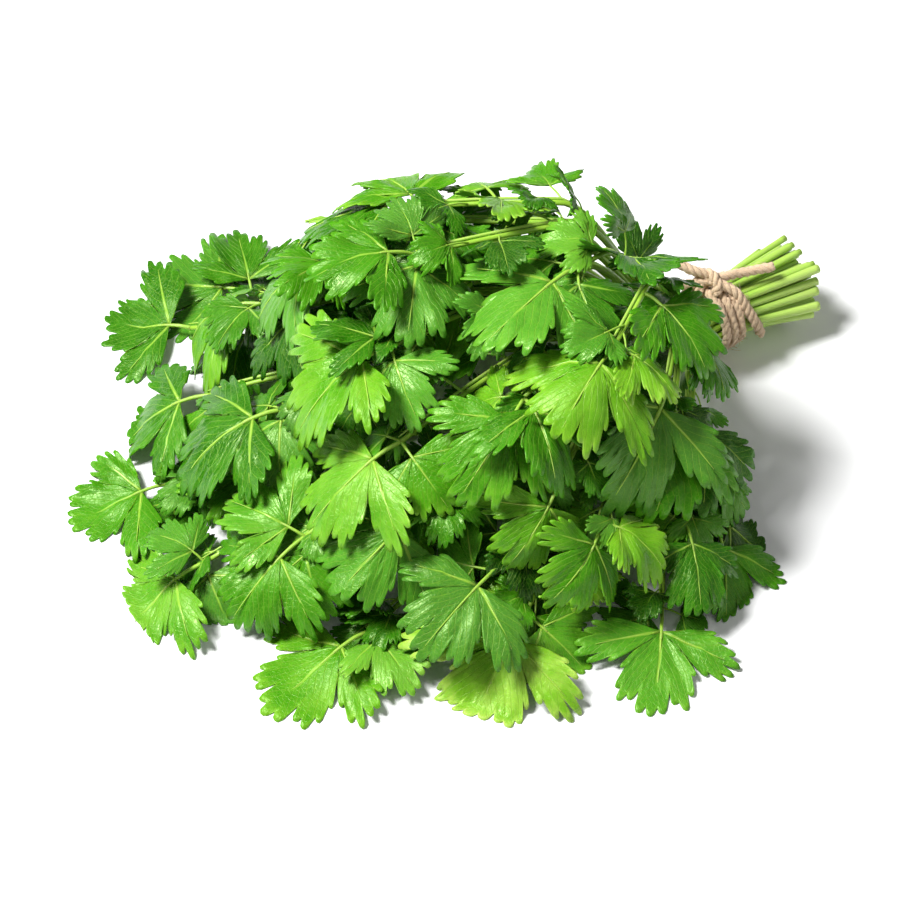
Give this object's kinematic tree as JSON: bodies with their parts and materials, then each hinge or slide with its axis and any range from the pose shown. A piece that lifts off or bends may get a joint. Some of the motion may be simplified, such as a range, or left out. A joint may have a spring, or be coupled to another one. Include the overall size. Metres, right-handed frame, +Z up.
{
  "type": "coriander bunch",
  "caption": "Bunch of fresh coriander lying on its side: leafy stems fanned into a low mound of lobed leaflets, gathered and tied near their cut ends with jute twine in a half bow.",
  "frame": {"origin": "Middle of the bounding box in plan, on the surface the bunch lies on (bounding box bottom centre).", "axes": "+X along the tied stems towards their cut ends, the bunch's longest extent; +Z up; -Y is the side seen at the front right of the picture."},
  "size_m": [0.2582, 0.2566, 0.0946],
  "materials": {
    "coriander": null,
    "twine": "natural three-ply jute twine, matte, with loose fibres"
  },
  "bodies": {
    "root": {"leafy_stem_01": "coriander", "leafy_stem_02": "coriander", "leafy_stem_03": "coriander", "leafy_stem_04": "coriander", "leafy_stem_05": "coriander", "leafy_stem_06": "coriander", "leafy_stem_07": "coriander", "leafy_stem_08": "coriander", "leafy_stem_09": "coriander", "leafy_stem_10": "coriander", "leafy_stem_11": "coriander", "leafy_stem_12": "coriander", "leafy_stem_13": "coriander", "leafy_stem_14": "coriander", "leafy_stem_15": "coriander", "leafy_stem_16": "coriander", "leafy_stem_17": "coriander", "leafy_stem_18": "coriander", "leafy_stem_19": "coriander", "leafy_stem_20": "coriander", "leafy_stem_21": "coriander", "leafy_stem_22": "coriander", "leafy_stem_23": "coriander", "leafy_stem_24": "coriander", "leafy_stem_25": "coriander", "leafy_stem_26": "coriander", "leafy_stem_27": "coriander", "leafy_stem_28": "coriander", "leafy_stem_29": "coriander", "leafy_stem_30": "coriander", "leafy_stem_31": "coriander", "leafy_stem_32": "coriander", "leafy_stem_33": "coriander", "leafy_stem_34": "coriander", "leafy_stem_35": "coriander", "leafy_stem_36": "coriander", "leafy_stem_37": "coriander", "twine": "twine"}
  },
  "joints": []
}
